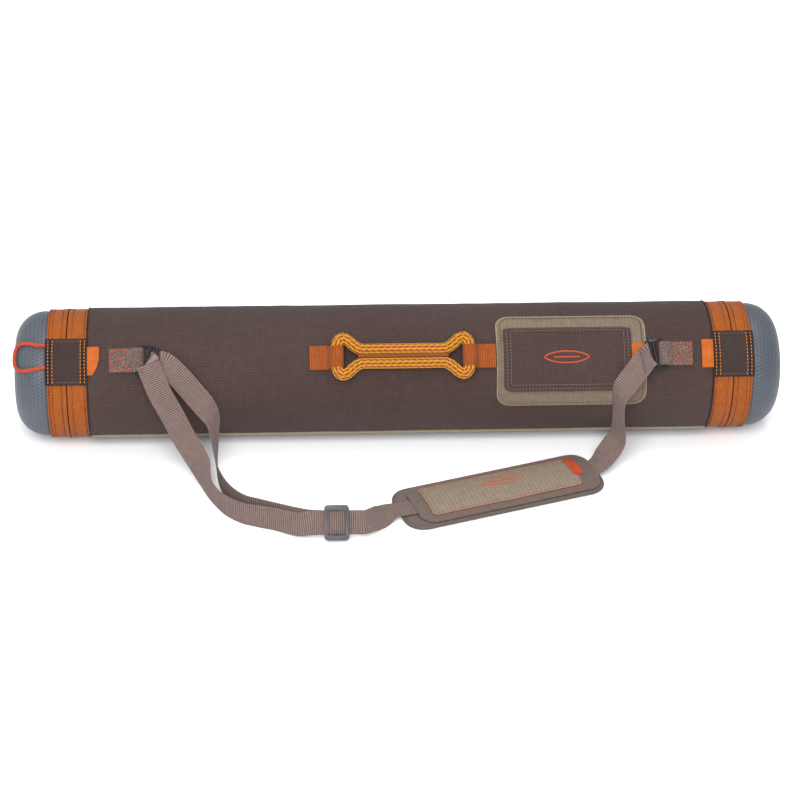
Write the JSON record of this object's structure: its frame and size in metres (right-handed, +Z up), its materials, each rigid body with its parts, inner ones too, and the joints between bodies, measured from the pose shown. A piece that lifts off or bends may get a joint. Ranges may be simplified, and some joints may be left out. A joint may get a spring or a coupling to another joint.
{
  "type": "rod case",
  "caption": "Long fabric-covered tube for fishing rods with zip-off hinged end caps, rope handle, flap pocket and padded shoulder strap.",
  "frame": {"origin": "on the floor under the middle of the case, on the flat strip that the case rests on", "axes": "+X along the case to the right cap, -Y to the side with the handle and the strap, +Z up"},
  "size_m": [0.8136, 0.2917, 0.139],
  "materials": {
    "cover_fabric": "tightly woven brown nylon",
    "khaki_fabric": "ripstop nylon",
    "grosgrain": "ribbed tape",
    "black_plastic": "moulded",
    "cap_shell": "moulded foam with a fine dotted texture",
    "webbing": "ribbed nylon webbing",
    "label": "woven tape",
    "rope": "braided rope",
    "core": "extruded tube",
    "foam": "closed-cell foam faced with fabric",
    "grey_plastic": "moulded",
    "pad_fabric": "knit-faced foam",
    "zip_metal": "dark plated"
  },
  "bodies": {
    "case": {"core_tube": "core", "cover_top": "cover_fabric", "cover_bottom": "cover_fabric", "piping_front": "khaki_fabric", "piping_back": "khaki_fabric", "left_tube_band": "grosgrain", "right_tube_band": "grosgrain", "left_tube_coil": "black_plastic", "right_tube_coil": "black_plastic", "left_tube_patch": "cover_fabric", "right_tube_patch": "cover_fabric", "left_label": "label", "right_label": "label", "strap_tab_left": "webbing", "strap_tab_right": "webbing", "strap_buckle_left": "black_plastic", "strap_buckle_right": "black_plastic", "handle_anchor_left": "grosgrain", "handle_anchor_right": "grosgrain", "pocket_back": "khaki_fabric", "pocket_pouch": "khaki_fabric", "flap_fastener_loop": "black_plastic", "strap_webbing": "webbing", "strap_return": "webbing"},
    "left_cap": {"left_cap_shell": "cap_shell", "left_cap_pad": "foam", "left_cap_coil": "black_plastic", "left_cap_band": "grosgrain", "left_cap_patch": "cover_fabric"},
    "right_cap": {"right_cap_shell": "cap_shell", "right_cap_pad": "foam", "right_cap_coil": "black_plastic", "right_cap_band": "grosgrain", "right_cap_patch": "cover_fabric"},
    "left_slider_a": {"left_slider_a": "black_plastic"},
    "left_slider_b": {"left_slider_b": "black_plastic"},
    "left_pull_a": {"left_pull_a": "zip_metal"},
    "left_pull_b": {"left_pull_b": "zip_metal"},
    "right_slider_a": {"right_slider_a": "black_plastic"},
    "right_slider_b": {"right_slider_b": "black_plastic"},
    "right_pull_a": {"right_pull_a": "zip_metal"},
    "right_pull_b": {"right_pull_b": "zip_metal"},
    "pull_loop": {"cap_pull_loop": "label"},
    "handle": {"handle_rope": "rope", "handle_core_strip": "grosgrain"},
    "flap": {"pocket_flap": "cover_fabric", "flap_fastener_hook": "black_plastic", "flap_pull_tab": "label"},
    "glide": {"strap_slider": "grey_plastic"},
    "shoulder_pad": {"pad_base": "pad_fabric", "pad_panel": "khaki_fabric", "pad_tag": "label"}
  },
  "joints": [
    {"name": "left_cap_hinge", "type": "hinge", "parent": "case", "child": "left_cap", "pos_m": [-0.35, -0.05209, 0.11486], "axis": [0, 0.6691, 0.7431], "range_deg": [0, 110]},
    {"name": "right_cap_hinge", "type": "hinge", "parent": "case", "child": "right_cap", "pos_m": [0.35, -0.05209, 0.11486], "axis": [0, -0.6691, -0.7431], "range_deg": [0, 110]},
    {"name": "left_zip_a", "type": "hinge", "parent": "case", "child": "left_slider_a", "pos_m": [-0.35, 0, 0.06795], "axis": [-1, 0, 0], "range_deg": [-123, 0]},
    {"name": "left_zip_b", "type": "hinge", "parent": "case", "child": "left_slider_b", "pos_m": [-0.35, 0, 0.06795], "axis": [-1, 0, 0], "range_deg": [0, 145]},
    {"name": "right_zip_a", "type": "hinge", "parent": "case", "child": "right_slider_a", "pos_m": [0.35, 0, 0.06795], "axis": [-1, 0, 0], "range_deg": [-123, 0]},
    {"name": "right_zip_b", "type": "hinge", "parent": "case", "child": "right_slider_b", "pos_m": [0.35, 0, 0.06795], "axis": [-1, 0, 0], "range_deg": [0, 145]},
    {"name": "left_pull_swing_a", "type": "hinge", "parent": "left_slider_a", "child": "left_pull_a", "pos_m": [-0.35, 0.06623, 0.03846], "axis": [-1, 0, 0], "range_deg": [-140, 0]},
    {"name": "left_pull_swing_b", "type": "hinge", "parent": "left_slider_b", "child": "left_pull_b", "pos_m": [-0.35, 0.05865, 0.02534], "axis": [-1, 0, 0], "range_deg": [-15, 30]},
    {"name": "right_pull_swing_a", "type": "hinge", "parent": "right_slider_a", "child": "right_pull_a", "pos_m": [0.35, 0.06623, 0.03846], "axis": [-1, 0, 0], "range_deg": [-140, 0]},
    {"name": "right_pull_swing_b", "type": "hinge", "parent": "right_slider_b", "child": "right_pull_b", "pos_m": [0.35, 0.05865, 0.02534], "axis": [-1, 0, 0], "range_deg": [-15, 30]},
    {"name": "loop_hinge", "type": "hinge", "parent": "left_cap", "child": "pull_loop", "pos_m": [-0.3717, -0.05157, 0.11439], "axis": [0, 0.6691, 0.7431], "range_deg": [0, 45]},
    {"name": "handle_lift", "type": "slide", "parent": "case", "child": "handle", "axis": [0, -0.7431, 0.6691], "range_m": [0, 0.0045]},
    {"name": "flap_hinge", "type": "hinge", "parent": "case", "child": "flap", "pos_m": [0.17315, -0.02724, 0.13308], "axis": [-1, 0, 0], "range_deg": [0, 105], "deforming": ["flap_pull_tab"]},
    {"name": "glide_slide", "type": "slide", "parent": "case", "child": "glide", "axis": [1, 0, 0], "range_m": [0, 0.01]},
    {"name": "pad_slide", "type": "slide", "parent": "case", "child": "shoulder_pad", "axis": [-0.9511, -0.309, 0], "range_m": [0, 0.008]}
  ]
}
